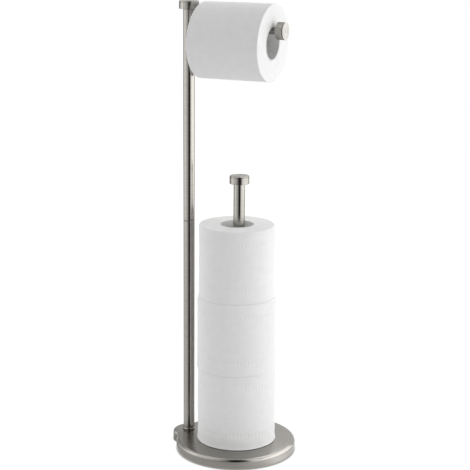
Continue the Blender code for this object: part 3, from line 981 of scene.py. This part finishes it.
def softbox(name, azimuth, elevation, distance, width, height, radiance, *hidden):
    """A lamp that faces the object. Kinds of rays that don't see it are named last."""
    data = bpy.data.lights.new(name, "AREA")
    data.shape = "RECTANGLE"
    data.size = width
    data.size_y = height
    data.energy = radiance * math.pi * width * height
    lamp = bpy.data.objects.new(name, data)
    bpy.context.scene.collection.objects.link(lamp)
    way = direction(azimuth, elevation)
    lamp.location = studio_middle + way * distance
    lamp.rotation_euler = way.to_track_quat("Z", "Y").to_euler()
    for kind in hidden:
        setattr(lamp, "visible_" + kind, False)


# Azimuth, elevation, distance, width, height and radiance
softbox("right_softbox", 91, 4, 1.6, 2.9, 1.35, 1.64)
softbox("front_softbox", 52, 38, 1.8, 1.0, 1.0, 0.87, "glossy")
softbox("low_softbox", 5, -16, 0.8, 0.9, 0.22, 0.66, "glossy", "camera")
softbox("left_softbox", -102, 12, 1.6, 1.9, 1.5, 0.96, "glossy")
softbox("top_softbox", 180, 80, 1.5, 1.4, 1.0, 0.45, "glossy")
softbox("back_left_softbox", -145, 20, 2.0, 1.3, 0.9, 2.2, "glossy")
softbox("back_right_softbox", 152, 38, 2.0, 1.3, 0.9, 1.6, "glossy")


def glow_ramp(graph, value, stops):
    ramp = graph.node("ShaderNodeValToRGB", {0: value})
    elements = ramp.color_ramp.elements
    while len(elements) > 1:
        elements.remove(elements[-1])
    for index, (place, level) in enumerate(stops):
        element = elements[0] if index == 0 else elements.new(place)
        element.position = place
        element.color = (level, level, level, 1)
    return ramp.outputs[0]


def clear_of_base(centre, way):
    """How far one goes from a centre before leaving the base's disc."""
    to_middle = base_middle - centre
    along = to_middle.dot(way)
    return along + math.sqrt(base_radius ** 2 - (to_middle - along * way).length_squared)


def dome(reach, lowest, highest):
    """Path that rises round the object at one distance, between two elevations."""
    path = []
    for step in range(dome_steps + 1):
        lift = math.radians(lowest + (highest - lowest) * step / dome_steps)
        path.append((reach * math.cos(lift), reach * math.sin(lift)))
    return path


def reflector(name, centre, path, stops):
    """A card swept round a centre along a path of (reach, height) and seen only in reflections. A reach is
    measured from the rim of the base's disc. The stops are pairs of azimuth and brightness."""
    left, right = stops[0][0], stops[-1][0]
    vertices = []
    for column in range(card_columns + 1):
        way = direction(left + (right - left) * column / card_columns, 0)
        for reach, height in path:
            vertices.append(centre + way * (reach + clear_of_base(centre, way)) + up * height)
    rows = len(path)
    faces = []
    for column in range(card_columns):
        for row in range(rows - 1):
            start = column * rows + row
            faces.append((start, start + rows, start + rows + 1, start + 1))
    item = make_object(name, vertices, faces)
    shares = item.data.attributes.new("share", "FLOAT", "POINT")
    for index in range(len(vertices)):
        shares.data[index].value = (index // rows) / card_columns
    graph = Graph(name)
    share = graph.node("ShaderNodeAttribute", {}, attribute_name="share").outputs["Fac"]
    levels = [((azimuth - left) / (right - left), level) for azimuth, level in stops]
    graph.show(graph.node("ShaderNodeEmission", {"Color": glow_ramp(graph, share, levels)}))
    item.data.materials.append(graph.material)
    item.visible_camera = False
    item.visible_diffuse = False
    item.visible_shadow = False
    item.visible_transmission = False


post_middle = Vector((post_x, 0, 0))
# The stops that the front cards share: a dark gap ahead of the camera, bright to its right
dark_gap = ((-8, 0.18), (-3, 0.02), (17, 0.01), (22, 0.12), (27, 0.5), (33, 1.15), (41, 1.7), (50, 1.9))
reflector(
    "front_card", post_middle, dome(near_reach, 0, 27),
    ((-75, 1.4), (-58, 1.3), (-42, 1.05), (-27, 0.8), (-16, 0.48), *dark_gap),
)
reflector(
    "high_front_card", post_middle, dome(near_reach, 27, 70),
    ((-75, 1.2), (-58, 1.25), (-42, 1.05), (-27, 0.8), (-16, 0.48), *dark_gap),
)
reflector(
    "front_floor_card", post_middle, [(near_floor_reach, card_lift), (near_reach, card_lift)],
    ((-75, 1.0), (-58, 1.0), (-42, 0.9), (-27, 0.72), (-16, 0.45), *dark_gap),
)
reflector(
    "near_floor_card", base_middle, [(near_floor_start, card_lift / 2), (near_floor_reach, card_lift / 2)],
    ((-150, 0.85), (-112, 0.75), (-98, 0.34), (-93, 0.5), (-86, 0.7), (-40, 0.71), (0, 0.71), (30, 0.97),
     (39, 1.35), (50, 1.68), (57, 1.62), (64, 1.5), (72, 1.35), (80, 1.2), (100, 1.1)),
)
reflector(
    "right_floor_card", base_middle, [(near_floor_reach, card_lift), (right_floor_reach, card_lift)],
    ((42, 1.6), (60, 1.6), (130, 1.5)),
)
reflector(
    "back_card", base_middle, dome(far_reach, 14, 36),
    ((165, 1.1), (176, 1.05), (184, 0.62), (215, 0.57), (232, 0.62), (244, 0.95), (253, 1.6), (262, 1.95),
     (286, 1.85)),
)
reflector(
    "left_card", base_middle, [(left_reach, card_lift), (left_reach, left_height)],
    ((-135, 0.9), (-120, 1.0), (-108, 1.55), (-98, 1.95), (-74, 1.85)),
)
reflector(
    "high_right_card", base_middle, dome(far_reach, 30, 72),
    ((72, 1.5), (90, 2.1), (135, 2.1), (158, 2.1), (172, 2.0), (180, 1.3)),
)
reflector(
    "low_back_card", base_middle, dome(far_reach, 1, 15),
    ((195, 0.6), (215, 0.5), (268, 0.5)),
)
reflector(
    "upper_left_card", post_middle, dome(far_reach, 38, 80),
    ((-130, 0.8), (-105, 1.5), (-85, 1.4), (-65, 1.15), (-45, 1.05), (-24, 0.6)),
)


def seen_rays(tree):
    """One for camera, glossy and transmission rays, and nothing for the rest."""
    path = tree.nodes.new("ShaderNodeLightPath")
    total = path.outputs["Is Camera Ray"]
    for name in ("Is Glossy Ray", "Is Transmission Ray"):
        both = tree.nodes.new("ShaderNodeMath")
        both.operation = "MAXIMUM"
        tree.links.new(total, both.inputs[0])
        tree.links.new(path.outputs[name], both.inputs[1])
        total = both.outputs[0]
    return total


def floor():
    """Wide pale floor. It is seen almost white, and keeps the object's shadow. Its glow is darkened close to
    the object, a painted contact shadow.
    """
    bm = bmesh.new()
    bmesh.ops.create_circle(bm, cap_ends=True, segments=floor_steps, radius=floor_radius)
    mesh = bpy.data.meshes.new("floor")
    bm.to_mesh(mesh)
    bm.free()
    item = bpy.data.objects.new("floor", mesh)
    bpy.context.scene.collection.objects.link(item)
    item.location.z = -floor_drop
    graph = Graph("pale_floor")
    tone = graph.mixed(graph.noise(graph.place(), 3 * MM, detail=3.0), *floor_tones)
    plain = graph.node("ShaderNodeBsdfDiffuse", {"Color": tone})
    # Painted shadow: the glow dims where the object stands close to the floor
    painted_contact_shadow = graph.node("ShaderNodeAmbientOcclusion", {"Distance": floor_shade_reach}).outputs["AO"]
    level = graph.math("MULTIPLY", painted_contact_shadow, floor_glow)
    glow = graph.node("ShaderNodeEmission", {"Color": (1, 1, 1, 1), "Strength": level})
    veil = graph.node("ShaderNodeBsdfDiffuse", {"Color": (floor_veil, floor_veil, floor_veil, 1)})
    seen = graph.node("ShaderNodeAddShader", {0: glow.outputs[0], 1: veil.outputs[0]})
    graph.show(graph.node("ShaderNodeMixShader",
                          {0: seen_rays(graph.tree), 1: plain.outputs[0], 2: seen.outputs[0]}))
    mesh.materials.append(graph.material)


def white_world():
    """White to the camera and in reflections, and a soft fill for everything else."""
    world = bpy.data.worlds.new("studio")
    world.use_nodes = True
    tree = world.node_tree
    background = tree.nodes["Background"]
    background.inputs["Color"].default_value = (1, 1, 1, 1)
    level = tree.nodes.new("ShaderNodeMapRange")
    tree.links.new(seen_rays(tree), level.inputs[0])
    level.inputs[3].default_value = fill_strength
    level.inputs[4].default_value = 1.0
    tree.links.new(level.outputs[0], background.inputs["Strength"])
    bpy.context.scene.world = world


floor()
white_world()
bpy.context.scene.view_settings.view_transform = "Standard"
